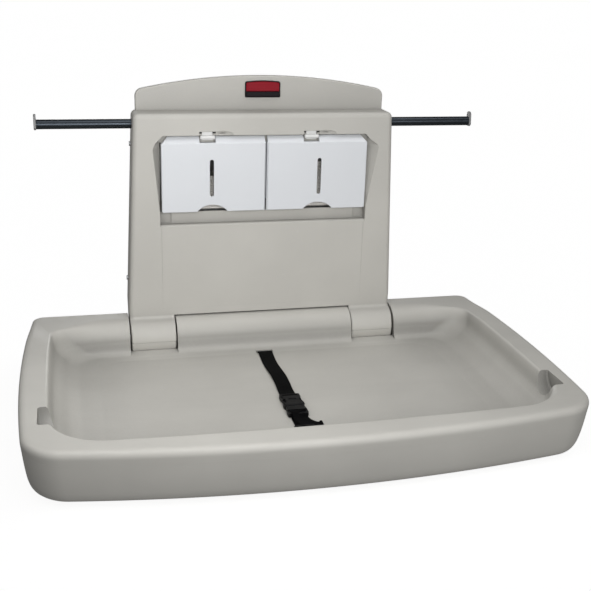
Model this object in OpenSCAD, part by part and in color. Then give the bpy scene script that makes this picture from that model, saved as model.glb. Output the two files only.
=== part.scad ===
// Wall-mounted fold-down baby changing table, horizontal type: a wall unit with a two-door
// liner dispenser and a bag-hook rail, and a moulded bed that folds down on two hinge legs.
// Frame: wall face at Y = 0, room towards -Y, Z up, origin in the middle of the wall bolts.

/* [Wall bolts] */
// Spacing of the wall bolts across the wall
bolt_x = 406.4; // [300:0.1:420]
// Spacing of the wall bolts up the wall
bolt_z = 250; // [150:1:280]
// Diameter of the wall bolt holes
bolt_d = 9; // [6:0.5:12]
// Height of the middle of the wall bolts above the rim of the opened bed
bolt_h = 150; // [120:1:200]

/* [Bed] */
// Half width of the bed at its back and front ends
bed_half = 407; // [380:1:430]
// How far the sides of the bed bow out at mid length
bed_bow = 15; // [0:1:25]
// Distance from the wall to the back edge of the bed
bed_back = 15; // [12:1:20]
// Length of the bed from its back edge to the front of its bow
bed_len = 545; // [500:1:600]
// Outer height of the bed
bed_h = 86; // [70:1:95]
// Depth of the basin below the rim
basin_depth = 60; // [50:1:64]
// Moulded wall thickness of the bed skins
skin = 3.4; // [3:0.1:4]
// Distance from the wall to the middle of the rail pockets in the side rims
pocket_y = 419.5; // [410:0.5:430]
// Length of each half-round rail pocket along the rim
pocket_len = 55; // [48:1:60]
// Half distance between the outer ends of the two rail pockets
pocket_x = 393; // [388:1:398]

/* [Hinge] */
// Distance of the hinge axis from the wall
hinge_y = 48; // [44:1:52]
// Distance of the hinge axis below the rim
hinge_z = 40; // [36:1:44]
// Radius of the rolled back of the bed between the legs
barrel_r = 36; // [34:0.5:38]
// Radius of the leg knuckles
knuckle_r = 34.5; // [32:0.5:36]
// Distance from the middle to the inner face of each leg
leg_in = 162; // [150:1:175]
// Distance from the middle to the outer face of each leg
leg_out = 240; // [225:1:245]
// Gap between a leg and the bed on each side
leg_gap = 3; // [1:0.5:5]
// Diameter of the hinge pins
pin_d = 12; // [8:1:16]
// Radial running clearance of the hinge bushes
pin_fit = 0.05; // [0.02:0.01:0.1]

/* [Wall unit] */
// Depth of the housing body from the wall
unit_d = 53; // [48:1:60]
// Half width of the housing body at its top edge
unit_top_half = 226; // [215:1:235]
// Height of the top edge of the housing body above the rim
unit_top = 356; // [340:1:370]
// Half width of the arched head
head_half = 219; // [205:1:224]
// Height of the middle of the arched head above the rim
head_top = 414; // [395:1:420]
// Drop of the head's arch from its middle to its corners
head_drop = 24; // [10:1:35]
// Depth of the arched head from the wall
head_d = 10; // [8:1:16]
// Wall thickness of the housing
wall_t = 3.5; // [3:0.5:5]
// Thickness of the back plate
plate_t = 3; // [2:0.5:4]

/* [Dispenser] */
// Width of each liner door
door_w = 180; // [160:1:182]
// Height of the liner doors
door_h = 120; // [100:1:124]
// Height of the lower edge of the doors above the rim
door_z = 187; // [180:1:200]
// How far the door fronts stand from the wall
door_y = 55.5; // [54:0.5:57]
// Thickness of the door skin
door_t = 2.5; // [2:0.5:3]
// Length of the sight slot in each door
sight_len = 64; // [40:1:80]
// Width of the sight slot
sight_w = 7; // [5:0.5:10]
// Height of the stack of liners in the left bin
stack_left = 58; // [5:1:110]
// Height of the stack of liners in the right bin
stack_right = 80; // [5:1:110]

/* [Hook rail] */
// Diameter of the rail
rail_d = 16; // [12:1:20]
// Overall half length of the rail with its caps
rail_half = 386; // [370:1:388]
// Distance of the rail's axis from the wall
rail_y = 20; // [16:1:24]
// Height of the rail's axis above the rim of the opened bed
rail_z = 335; // [328:1:338]

/* [Strap] */
// Width of the safety strap webbing
strap_w = 25; // [20:1:40]
// Thickness of the webbing
strap_t = 1.8; // [1:0.1:3]

/* [View] */
// Which sub-part to draw

/* [Hidden] */
$fn = 64;
platinum = [0.74, 0.72, 0.68];
white = [0.90, 0.90, 0.92];
steel = [0.55, 0.58, 0.62];
black = [0.06, 0.06, 0.07];
paper = [0.86, 0.84, 0.80];
e = 0.01;
side_slope = 15 / 332;             // how much the housing widens per mm going down
taper_from = 20;                   // height above the rim where that taper starts
notch_in = leg_in - leg_gap + 1;
notch_out = leg_out + leg_gap;
floor_z = -basin_depth;
seam_z = -20;                      // where the tray's skirt meets the underpan
seam_gap = 0.3;
back_drop = 4;                     // how much lower the rim is at the back
pan_in = -bed_h + skin;
door_gap = 1;
door_top = door_z + door_h;
door_lip = 10;                     // height of the sloping lip along a door's top
pivot_y = -50;
pivot_z = door_z + 5;
recess_floor = -41;
shelf_z = 165;                     // lower edge of the liner slot
open_top = 319;                    // upper edge of the dispenser opening
open_half = 184;
flare = 19;                        // how much wider the recess is at its top, right and left
flare_left = 11;
strap_x = -8;
strap_rest = 0.4;                  // clearance of the strap above the basin floor
buckle_a = -301;                   // back and front ends of the buckle
buckle_b = -372;
slot_back = -108;
slot_front = -462;
slot_w = 30;
slot_l = 10;
pin_r = pin_d / 2;
screw_z = [60, 300];
latch_x = [-102, 80];
tray_screw_xy = [[-300, -130], [300, -130], [-300, -420], [300, -420], [-140, -440], [140, -440]];

// everything is drawn above the rim plane of the opened bed, then moved to the bolts
module place() translate([0, 0, -bolt_h]) children();
module x_rod(r, x1, x2, y, z) translate([x1, y, z]) rotate([0, 90, 0]) cylinder(r = r, h = x2 - x1);
module box(a, b) translate(a) cube(b - a);
module front_plate(y1, y2) translate([0, y2, 0]) rotate([90, 0, 0]) linear_extrude(y2 - y1) children();
module along_x(x1, x2) translate([x1, 0, 0]) rotate([90, 0, 90]) linear_extrude(x2 - x1) children();
module both() { children(); mirror([1, 0, 0]) children(); }

function unit_half(z) = unit_top_half + side_slope * (unit_top - max(z, taper_from));
function smooth(t) = let(u = min(1, max(0, t))) u * u * (3 - 2 * u);

// ---- bed skins: rings of a rounded rectangle with bowed sides and front ----
bed_mid = -(bed_back + bed_len / 2);
corner_n = 9;
edge_n = 9;
function corner(cx, cy, r, a) = [for (i = [0:corner_n]) let(t = a + 90 * i / corner_n)
  [cx + r * cos(t), cy + r * sin(t)]];
function between(a, b) = [for (i = [1:edge_n - 1]) a + (b - a) * i / edge_n];
function loop4(c) = concat(c[0], between(c[0][corner_n], c[1][0]), c[1],
  between(c[1][corner_n], c[2][0]), c[2], between(c[2][corner_n], c[3][0]), c[3],
  between(c[3][corner_n], c[0][0]));
// ring = [half width, front y, back y, front radius, back radius, z, side bow, front bow]
function outline(q) = loop4([corner(q[0] - q[4], q[2] - q[4], q[4], 0),
  corner(q[4] - q[0], q[2] - q[4], q[4], 90), corner(q[3] - q[0], q[1] + q[3], q[3], 180),
  corner(q[0] - q[3], q[1] + q[3], q[3], 270)]);
// the flat rim reaches further forward towards the two back corners of the basin
corner_from = 285;
corner_flat = 38;
function corner_fill(q) = min(1, max(0, (bed_bow - 1 - q[6]) / (bed_bow - 7)))
  * max(0, corner_flat + 0.72 * (q[2] + hinge_y));
function bowed(p, q) = let(t = (p[1] - bed_mid) / (bed_len / 2), s = p[0] / q[0])
  [p[0] + s * q[6] * (1 - t * t),
   p[1] - q[7] * (1 - s * s) * smooth(-t * 1.25)
     - corner_fill(q) * smooth((abs(p[0]) - corner_from) / 88) * smooth((p[1] + 230) / 130),
   q[5] - back_drop * smooth((p[1] + 130) / 80) * max(0, q[5] - floor_z) / basin_depth];
function ring_points(q) = [for (p = outline(q)) bowed(p, q)];
module loft(rings) {
  pts = [for (q = rings) ring_points(q)];
  n = len(pts[0]);
  m = len(pts);
  polyhedron(points = [for (r = pts) each r],
    faces = concat([[for (i = [0:n - 1]) i]],
      [for (k = [0:m - 2]) for (i = [0:n - 1]) let(j = (i + 1) % n)
        each [[k * n + i, (k + 1) * n + i, (k + 1) * n + j], [k * n + i, (k + 1) * n + j, k * n + j]]],
      [[for (i = [n - 1:-1:0]) (m - 1) * n + i]]), convexity = 6);
}
// moves a ring sideways by d[0] and up by d[1]
function shifted(q, d) = [q[0] + d[0], q[1] - d[0], q[2] + d[0], max(6, q[3] + d[0]),
  max(6, q[4] + d[0]), q[5] + d[1], q[6], q[7]];
front = -(bed_back + bed_len);
rim_bow = 37.7;
h = bed_half;
// rings that follow the rolled back: an angle of 0 is its crest and 90 its front
barrel_steps = [0:12:84];
side_in = [[-44, 54], [-25, 40], [-8, 35], [-2, 32.5], [0, 30]];
front_in = [[-44, 74], [-25, 67], [-8, 64], [-2, 60], [0, 55]];
function undropped(z) = (z + back_drop) * basin_depth / (basin_depth - back_drop);
function barrel_ring(a) = let(z = min(0, undropped(barrel_r * cos(a) - hinge_z)))
  [h - lookup(z, side_in), front + lookup(z, front_in), -hinge_y - barrel_r * sin(a),
   78 - a / 10, 18 + a / 5, z, 6, 10.5];
tray_top = [
  [h, front + rim_bow, -bed_back, 48, 16, seam_z, bed_bow, rim_bow],
  [h, front + rim_bow, -bed_back, 48, 16, -9, bed_bow, rim_bow],
  [h - 1.3, front + rim_bow + 1.3, -16.3, 47, 15.5, -4.4, bed_bow, rim_bow],
  [h - 4.4, front + rim_bow + 4.4, -19.4, 45, 15, -1.3, bed_bow, rim_bow],
  [h - 9, front + rim_bow + 9, -24, 43, 14, 0, bed_bow - 1, rim_bow - 1],
  each [for (a = barrel_steps) barrel_ring(a)],
  [h - 64, front + 80, -88, 66, 37, -51, 6, 9],
  [h - 81, front + 92, -97, 62, 39, -57.5, 6, 9],
  [h - 112, front + 110, -112, 58, 40, floor_z, 6, 8]];
tray_in = [[-skin, 0], [-skin, 0], [-2.9, -1.6], [-1.5, -3], [0, -skin],
  each [for (a = barrel_steps) [skin * sin(a), -skin * cos(a)]],
  [2.6, -2.3], [1.2, -3.2], [0, -skin]];
pan_out = [
  [h - 0.3, front + rim_bow + 0.3, -bed_back, 48, 16, seam_z - seam_gap, bed_bow, rim_bow],
  [h - 3, front + rim_bow + 3, -bed_back, 47, 16, -40, bed_bow, rim_bow - 0.5],
  [h - 6, front + rim_bow + 6.5, -15.5, 46, 17, -bed_h + 24, bed_bow, rim_bow - 1],
  [h - 9, front + rim_bow + 9.5, -19, 45, 18, -bed_h + 12, bed_bow, rim_bow - 1.5],
  [h - 14, front + rim_bow + 14.5, -27, 42, 21, -bed_h + 4, bed_bow, rim_bow - 2],
  [h - 23, front + rim_bow + 24, -42, 38, 26, -bed_h, bed_bow, rim_bow - 3]];
pan_off = [[-skin, 0], [-3.3, 0.5], [-3.2, 1], [-2.6, 2.2], [-1.5, 3], [0, skin]];
function reversed(v) = [for (i = [len(v) - 1:-1:0]) v[i]];

// step in front of each knuckle that the leg folds down onto, back to front
notch_foot = [[-80.4, -55], [-96.5, -57.2]];
module notch_shelf() polygon([notch_foot[0], notch_foot[1], [-108, -60.5], [-108, -61.5], [-96, -61.2],
  notch_foot[0] - [0, 3.2]]);

// walls of a rail pocket, which is a half-round trough across the side rim
module pocket_tub() difference() {
  x_rod(pocket_len / 2 + skin, pocket_x - 55, pocket_x + skin, -pocket_y, 0);
  translate([0, -pocket_y + pocket_len, 0]) rotate([90, 0, 0]) linear_extrude(2 * pocket_len)
    polygon([[pocket_x - 60, -50], [h - 47, -42], [h - 34.2, -25], [h - 29.3, -8], [h - 26.8, -2],
      [pocket_x + 10, -2], [pocket_x + 10, 50], [pocket_x - 60, 50]]);
}

module bed_tray() color(platinum) difference() {
  union() {
    loft(concat([for (i = [len(tray_top) - 1:-1:0]) shifted(tray_top[i], tray_in[i])], tray_top));
    both() along_x(notch_in - 3, notch_out + 3) notch_shelf();
    both() pocket_tub();
    for (p = tray_screw_xy) translate([p[0], p[1], pan_in + 0.2])
      cylinder(r = 5, h = floor_z - pan_in - 2);
  }
  for (p = tray_screw_xy) translate([p[0], p[1], pan_in]) cylinder(r = screw_r, h = 11);
  both() x_rod(pocket_len / 2, pocket_x - 60, pocket_x, -pocket_y, 0);
  box([-notch_out, -hinge_y, -55], [notch_out, 5, 5]);
  both() along_x(notch_in, notch_out) polygon([notch_foot[1], [-115, -hinge_z], [-115, 5],
    [-hinge_y + 5, 5], [-hinge_y + 5, -hinge_z - 6], notch_foot[0]]);
  both() x_rod(barrel_r - 0.4, notch_in, notch_out, -hinge_y, -hinge_z);
  for (y = [slot_back, slot_front]) box([strap_x - slot_w / 2, y - slot_l / 2, floor_z - 8],
    [strap_x + slot_w / 2, y + slot_l / 2, floor_z + 3]);
}

module bed_underpan() color(platinum) difference() {
  loft(concat([for (i = [len(pan_out) - 1:-1:0]) shifted(pan_out[i], pan_off[i])], pan_out));
  both() box([notch_in, -hinge_y, -bed_h + skin - 0.2], [notch_out, 5, 0]);
  for (p = tray_screw_xy) translate([p[0], p[1], -bed_h - 1]) cylinder(d = 4.4, h = skin + 2);
}

// outer skin behind the hinge axis, between the two legs, with its closing ends
module rear_profile(r) intersection() {
  translate([-hinge_y, -hinge_z]) circle(r = r, $fn = 96);
  translate([-hinge_y + e, seam_z - 2.4]) square([60, 60]);
}
module bed_rear_cover() color(platinum) difference() {
  along_x(-notch_in + 5, notch_in - 5) difference() {
    rear_profile(barrel_r);
    translate([-hinge_y, -hinge_z]) circle(r = barrel_r - skin, $fn = 96);
  }
}

// closing plates either side of each leg, which carry the hinge bushes
module cheek_profile() {
  intersection() {
    translate([-hinge_y, -hinge_z]) circle(r = barrel_r - skin - 0.8, $fn = 96);
    translate([-100, -hinge_z - 1]) square([81, 60]);
  }
  polygon([[-80, -66], [-80, pan_in + 0.4], [-hinge_y, pan_in + 0.4], [-31.5, -77.8], [-23.6, -71.5],
    [-19.6, -61], [-19, -hinge_z - 1], [-19, -hinge_z], [-79, -hinge_z], [-76, -54]]);
}
module cheek(x1, x2) difference() {
  along_x(x1, x2) cheek_profile();
  x_rod(bush_r, x1 - 1, x2 + 1, -hinge_y, -hinge_z);
}
bush_r = 11;
cheek_t = 4.5;
module hinge_cheeks() color(platinum) {
  cheek(notch_in - cheek_t, notch_in - 0.2);
  cheek(notch_out + 0.2, notch_out + cheek_t);
}
module hinge_cheek_right() hinge_cheeks();
module hinge_cheek_left() mirror([1, 0, 0]) hinge_cheeks();
module bush(x1, x2) difference() {
  x_rod(bush_r, x1, x2, -hinge_y, -hinge_z);
  x_rod(pin_r + pin_fit, x1 - 1, x2 + 1, -hinge_y, -hinge_z);
}
module hinge_bushes() color(black) both() {
  bush(notch_in - 16, notch_in - 0.2);
  bush(notch_out + 0.2, notch_out + 16);
}

screw_r = 2;
module screw(r, head_r, len) {
  cylinder(r = r, h = len);
  difference() {
    translate([0, 0, -2.4]) cylinder(r = head_r, h = 2.4);
    translate([0, 0, -3]) cylinder(r = head_r * 0.42, h = 1.8, $fn = 6);
  }
}
module tray_screws() color(steel) for (p = tray_screw_xy)
  translate([p[0], p[1], -bed_h - 0.1]) screw(screw_r, 4.5, 13);

// ---- safety strap ----
module strap_run(y1, y2) box([strap_x - strap_w / 2, y2, floor_z + strap_rest],
  [strap_x + strap_w / 2, y1, floor_z + strap_rest + strap_t]);
module strap_drop(y) box([strap_x - strap_w / 2, y - strap_t / 2, floor_z - 9],
  [strap_x + strap_w / 2, y + strap_t / 2, floor_z + strap_rest + strap_t]);
module strap_back() color(black) { strap_run(slot_back, buckle_a - 9.3); strap_drop(slot_back); }
module strap_front() color(black) { strap_run(buckle_b + 9.3, slot_front); strap_drop(slot_front); }
module strap_anchor(y) color(steel) box([strap_x - 20, y - 4, floor_z - 12], [strap_x + 20, y + 4, floor_z - 9.2]);
module strap_anchor_back() strap_anchor(slot_back);
module strap_anchor_front() strap_anchor(slot_front);
// bar end that the webbing enters under one bar (side +1 back, -1 front)
module lug(y, w, l, z1, t, side) translate([strap_x, y, floor_z + z1]) difference() {
  translate([-w / 2, -l / 2, 0]) cube([w, l, t]);
  translate([-strap_w / 2 - 0.5, -l / 2 + 2.5, -1]) cube([strap_w + 1, l - 5, t + 2]);
  translate([-strap_w / 2 - 0.5, side > 0 ? 0 : -l / 2 - 1, -1])
    cube([strap_w + 1, l / 2 + 1, strap_rest + strap_t + 1.2]);
}
module buckle_socket() color(black) difference() {
  union() {
    lug(buckle_a - 6, 33, 12, 0.3, 7, 1);
    box([strap_x - 17, buckle_a - 44, floor_z + 0.3], [strap_x + 17, buckle_a - 12, floor_z + 10]);
  }
  box([strap_x - 13.5, buckle_a - 45, floor_z + 2.8], [strap_x + 13.5, buckle_a - 18, floor_z + 8]);
  both_sides_of_strap() box([13, buckle_a - 40, floor_z + 2.8], [18, buckle_a - 24, floor_z + 8]);
}
module both_sides_of_strap() translate([strap_x, 0, 0]) both() children();
module buckle_plug() color(black) {
  lug(buckle_b + 6, 33, 12, 0.3, 7, -1);
  box([strap_x - 16, buckle_b + 12, floor_z + 0.6], [strap_x + 16, buckle_a - 44.4, floor_z + 9.6]);
  both_sides_of_strap() {
    box([9, buckle_a - 44.5, floor_z + 3.2], [13.1, buckle_a - 22, floor_z + 7.6]);
    box([12, buckle_a - 36, floor_z + 3.2], [16.4, buckle_a - 27, floor_z + 7.6]);
  }
  box([strap_x - 4, buckle_a - 44.5, floor_z + 3.2], [strap_x + 4, buckle_a - 24, floor_z + 7.6]);
}
module strap_slider() color(black) difference() {
  box([strap_x - 16, -423, floor_z + 0.1], [strap_x + 16, -405, floor_z + 5.2]);
  box([strap_x - 13, -424, floor_z], [strap_x + 13, -404, floor_z + 2.6]);
}

// ---- wall unit ----
head_r = (head_half * head_half + head_drop * head_drop) / (2 * head_drop);
head_round = 14;
head_cx = head_half - head_round;  // centre of each rounded shoulder, tangent to the arch
head_cz = head_top - head_r + sqrt(pow(head_r - head_round, 2) - pow(head_cx, 2));
module head_outline(inset) {
  a = atan2(head_cz - head_top + head_r, head_cx);
  difference() {
    intersection() {
      translate([0, head_top - head_r]) circle(r = head_r - inset, $fn = 360);
      translate([-head_cx, unit_top - 20]) square([2 * head_cx, 90]);
    }
    for (s = [-1, 1]) translate([s * head_cx, head_cz]) mirror([s > 0 ? 0 : 1, 0])
      polygon([[0, 0], [40 * cos(a), 40 * sin(a)], [40, 40 * sin(a)], [40, 0]]);
  }
  translate([-head_half + inset, unit_top - 20]) square([2 * (head_half - inset), head_cz - unit_top + 20]);
  for (s = [-1, 1]) translate([s * head_cx, head_cz]) circle(r = head_round - inset);
}
module body_outline(i, low) polygon([[unit_half(unit_top) - i, unit_top - i],
  [-unit_half(unit_top) + i, unit_top - i], [-unit_half(taper_from) + i, taper_from],
  [-leg_out + i, low], [leg_out - i, low], [unit_half(taper_from) - i, taper_from]]);
unit_low = -1;                     // lower edge of the housing between the legs
leg_top = 30;                      // where the legs run into the housing body
cove_r = 14;
cove_y = -(unit_d + cove_r);
cove_z = -hinge_z + sqrt(pow(knuckle_r + cove_r, 2) - pow(unit_d + cove_r - hinge_y, 2));
// side view of a leg: flat front, hollow blend, then the round knuckle down to the axis
module leg_profile(t) {
  s = knuckle_r / (knuckle_r + cove_r);
  difference() {
    polygon([[-t, leg_top], [-unit_d + t, leg_top], [-unit_d + t, cove_z], [-hinge_y + s * (cove_y + hinge_y),
      -hinge_z + s * (cove_z + hinge_z)], [-hinge_y, -hinge_z], [-t, -hinge_z]]);
    translate([cove_y, cove_z]) circle(r = cove_r + t);
  }
  intersection() {
    translate([-hinge_y, -hinge_z]) circle(r = knuckle_r - t, $fn = 96);
    translate([-100, -hinge_z]) square([100 - t, 60]);
  }
}
module leg_shell() difference() {
  along_x(leg_in, leg_out) leg_profile(0);
  along_x(leg_in + wall_t, leg_out - wall_t) leg_profile(wall_t);
  box([leg_in + wall_t, -unit_d + wall_t, -hinge_z - 1], [leg_out - wall_t, 1, 40]);
  box([leg_in + wall_t, -hinge_y - knuckle_r + wall_t + 2, -hinge_z - 1],
    [leg_out - wall_t, 1, -hinge_z + 2]);
}
// the dispenser's recess: straight where the doors hang, flared beside them towards the top
module recess_outline(g) polygon([[-open_half - g, shelf_z - g], [open_half + g, shelf_z - g],
  [open_half + g, door_z], [open_half + flare + g, open_top - 19], [open_half + 2 + g, open_top - 8],
  [open_half - 6 + g, open_top + g], [6 - open_half - g, open_top + g], [-open_half - 2 - g, open_top - 8],
  [-open_half - flare_left - g, open_top - 19], [-open_half - g, door_z]]);
module wall_housing() color(platinum) difference() {
  union() {
    difference() {
      union() {
        front_plate(-unit_d, 0) body_outline(0, unit_low);
        front_plate(-head_d, 0) head_outline(0);
      }
      front_plate(-unit_d + wall_t, 1) body_outline(wall_t, unit_low - 1);
      front_plate(-head_d + wall_t, 1) head_outline(wall_t);
    }
    both() leg_shell();
    front_plate(-unit_d + 1, recess_floor + wall_t) recess_outline(2.5);
  }
  both() box([leg_in + wall_t, -unit_d + wall_t, -5], [leg_out - wall_t, 1, 20]);
  front_plate(-unit_d - 1, recess_floor) recess_outline(0);
  box([-open_half + 1.5, recess_floor - 1, door_z - 2], [open_half - 1.5, -30, 306]);
  for (x = latch_x) box([x - 14, -unit_d - 1, open_top - 9], [x + 14, -unit_d + wall_t + 0.2, open_top + 7]);
  x_rod(rail_d / 2 + 0.4, -240, 240, -rail_y, rail_z);
  both() x_rod(pin_r + 0.5, leg_in - 1, leg_out + 1, -hinge_y, -hinge_z);
  for (z = screw_z) both() x_rod(2.3, 200, 245, -13, z);
  box([-leg_out + wall_t + 1, -plate_t - 0.05, -80], [leg_out - wall_t - 1, 1, leg_top + 1]);
  for (x = latch_x) box([x - 9.3, -48.4, open_top - 1], [x + 9.3, -44.6, open_top + 4]);
}
// lower half of each knuckle, open at its back for the bracket
cap_back = 20.8;
module hinge_cap() difference() {
  along_x(leg_in, leg_out) intersection() {
    translate([-hinge_y, -hinge_z]) circle(r = knuckle_r, $fn = 96);
    translate([-100, -hinge_z - 60]) square([100 - cap_back, 59.8]);
  }
  along_x(leg_in + wall_t, leg_out - wall_t) translate([-hinge_y, -hinge_z])
    circle(r = knuckle_r - wall_t, $fn = 96);
  x_rod(pin_r + 0.5, leg_in - 1, leg_out + 1, -hinge_y, -hinge_z);
}
module hinge_cap_right() color(platinum) hinge_cap();
module hinge_cap_left() color(platinum) mirror([1, 0, 0]) hinge_cap();

module back_plate() color(steel) difference() {
  union() {
    front_plate(-plate_t, 0) difference() {
      union() {
        body_outline(wall_t + 2, unit_low);
        translate([-leg_out + wall_t + 2, -76]) square([2 * (leg_out - wall_t - 2), 80]);
      }
    }
    for (z = screw_z) both()
      box([unit_half(z) - wall_t - 8.5, -20, z - 9], [unit_half(z) - wall_t - 4.5, -plate_t + e, z + 9]);
  }
  for (x = [-1, 1], z = [-1, 1]) translate([x * bolt_x / 2, 1, bolt_h + z * bolt_z / 2])
    rotate([90, 0, 0]) cylinder(d = bolt_d, h = plate_t + 2);
  for (z = screw_z) both() x_rod(1.9, 190, 240, -13, z);
}
module housing_screws() color(steel) for (z = screw_z) both()
  translate([unit_half(z) + 0.25, -13, z]) rotate([0, -90, 0]) screw(1.9, 4, 17);
module stop_bumpers() color(black) both()
  translate([120, -plate_t - 0.3, -50]) rotate([90, 0, 0]) cylinder(r = 7, h = bed_back - plate_t - 0.35);

module bracket() color(steel) difference() {
  union() {
    box([leg_in + 8, -plate_t - 3, -76], [leg_out - 8, -plate_t - 0.05, 14]);
    for (x = [leg_in + 8, leg_out - 12]) {
      box([x, -hinge_y, -hinge_z - 14], [x + 4, -plate_t - 3 + e, -hinge_z + 14]);
      x_rod(14, x, x + 4, -hinge_y, -hinge_z);
    }
  }
  x_rod(pin_r, leg_in, leg_out, -hinge_y, -hinge_z);
}
module hinge_bracket_right() bracket();
module hinge_bracket_left() mirror([1, 0, 0]) bracket();
module pin() color(steel) x_rod(pin_r, notch_in - 15, notch_out + 15, -hinge_y, -hinge_z);
module hinge_pin_right() pin();
module hinge_pin_left() mirror([1, 0, 0]) pin();

badge_w = 62;
badge_h = 29;
badge_z = 377;
module badge_outline(i) intersection() {
  translate([-badge_w / 2 + i, badge_z + i]) square([badge_w - 2 * i, badge_h - 2 * i]);
  translate([0, badge_z + badge_h - 230 - i]) circle(r = 230, $fn = 180);
}
module badge_bezel() color(black) difference() {
  front_plate(-head_d - 3, -head_d - 0.05) badge_outline(0);
  front_plate(-head_d - 4, -head_d - 1.4) badge_outline(1.6);
}
split_z = badge_z + 10.5;
module badge_upper() color([0.62, 0.10, 0.14]) front_plate(-head_d - 3.4, -head_d - 1.5)
  intersection() { badge_outline(1.8); translate([-40, split_z]) square([80, 40]); }
module badge_lower() color(black) front_plate(-head_d - 3, -head_d - 1.5)
  intersection() { badge_outline(1.8); translate([-40, split_z - 40.2]) square([80, 40]); }

// ---- hook rail ----
module hook_rail() color(steel) difference() {
  x_rod(rail_d / 2, -rail_half + 4, rail_half - 4, -rail_y, rail_z);
  x_rod(rail_d / 2 - 1.5, -rail_half, rail_half, -rail_y, rail_z);
}
// cap that plugs into the tube, with a raised lip that keeps a bag strap on
module rail_cap() color([0.42, 0.42, 0.43]) {
  x_rod(rail_d / 2 - 1.52, rail_half - 16, rail_half - 4, -rail_y, rail_z);
  x_rod(rail_d / 2 + 1, rail_half - 4, rail_half, -rail_y, rail_z);
  along_x(rail_half - 4, rail_half) {
    translate([-rail_y, rail_z + 11]) circle(r = 6);
    translate([-rail_y - 6, rail_z]) square([12, 11]);
  }
}
module rail_cap_right() rail_cap();
module rail_cap_left() mirror([1, 0, 0]) rail_cap();
module rail_clamps() color(black) both() difference() {
  union() {
    box([140, -plate_t - 6, rail_z - 16], [164, -plate_t - 0.05, rail_z + 13]);
    box([142, -rail_y, rail_z - 12], [162, -plate_t, rail_z + 12]);
    x_rod(12, 142, 162, -rail_y, rail_z);
  }
  x_rod(rail_d / 2, 139, 165, -rail_y, rail_z);
}

// ---- liner dispenser ----
bin_back = -plate_t - 0.1;
bin_front = -40;
bin_t = 2;
module bin() {
  difference() {
    box([2.5, bin_front, door_z - 1], [open_half - 3, bin_back, 302]);
    box([2.5 + bin_t, bin_front - 1, door_z - 1 + bin_t], [open_half - 3 - bin_t, bin_back - bin_t, 300]);
    box([30, bin_front - 1, door_z - 2], [open_half - 30, bin_front + 8, door_z + 3]);
  }
  for (x = pivot_lugs) difference() {
    union() {
      box([x, pivot_y, pivot_z - lug_r], [x + 4, bin_front + 1, pivot_z + 4]);
      x_rod(lug_r, x, x + 4, pivot_y, pivot_z);
    }
    x_rod(door_pin_r, x - 1, x + 5, pivot_y, pivot_z);
  }
}
door_pin_r = 1.7;
lug_r = 2.9;
pivot_lugs = [18, 162];
module liner_bin_right() color(platinum) bin();
module liner_bin_left() color(platinum) mirror([1, 0, 0]) bin();
module stack(h) box([8, bin_front + 1, door_z + bin_t - 0.9], [open_half - 9, bin_back - bin_t - 0.3, door_z + bin_t + h]);
module liner_stack_right() color(paper) stack(stack_right);
module liner_stack_left() color(paper) mirror([1, 0, 0]) stack(stack_left);

scallop_r = 35.4;
scallop_up = 12.5;
module door(tab_x) difference() {
  union() {
    difference() {
      along_x(door_gap + 4, door_gap + door_w - 4) polygon([[-door_y + 0.5, door_top - 1],
        [-46.5, door_top + door_lip], [-44, door_top + door_lip], [-44, door_top - 1]]);
      box([tab_x - 16, -door_y - 1, door_top], [tab_x + 16, 0, door_top + 20]);
    }
    box([door_gap, -door_y, door_z], [door_gap + door_w, -door_y + door_t, door_z + door_h]);
    difference() {
      box([door_gap, -door_y, door_z + 20], [door_gap + door_w, -44, door_z + door_h]);
      box([door_gap + door_t, -door_y + 1, door_z], [door_gap + door_w - door_t, 0, door_z + door_h - door_t]);
    }
    for (x = [for (p = pivot_lugs) p - 6.5, for (p = pivot_lugs) p + 4.5]) {
      box([x, -door_y + 1, pivot_z - 4], [x + 6, pivot_y, pivot_z + 4]);
      x_rod(4, x, x + 6, pivot_y, pivot_z);
    }
  }
  for (x = [0:1]) translate([95, 0, 246 + (x * 2 - 1) * (sight_len - sight_w) / 2]) rotate([90, 0, 0])
    cylinder(d = sight_w, h = 80);
  box([95 - sight_w / 2, -80, 246 - (sight_len - sight_w) / 2],
    [95 + sight_w / 2, 0, 246 + (sight_len - sight_w) / 2]);
  translate([94, 0, door_z + scallop_up - scallop_r]) rotate([90, 0, 0]) cylinder(r = scallop_r, h = 80);
  for (p = pivot_lugs) x_rod(door_pin_r + 0.05, p - 10, p + 12, pivot_y, pivot_z);
}
module door_right() color(white) door(latch_x[1]);
module door_left() color(white) mirror([1, 0, 0]) door(-latch_x[0]);
module door_pins() color(steel) both() for (p = pivot_lugs)
  x_rod(door_pin_r, p - 6, p + 10, pivot_y, pivot_z);
module latch(x) color(white) {
  box([x - 12.5, -door_y + 1, open_top - 8], [x + 12.5, -unit_d + wall_t - 0.3, open_top]);
  box([x - 9, -unit_d + wall_t - 0.4, open_top - 8], [x + 9, -45, open_top - 4.4]);
  box([x - 9, -48, open_top - 8], [x + 9, -45, open_top + 17]);
}
module latch_left() latch(latch_x[0]);
module latch_right() latch(latch_x[1]);

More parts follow.
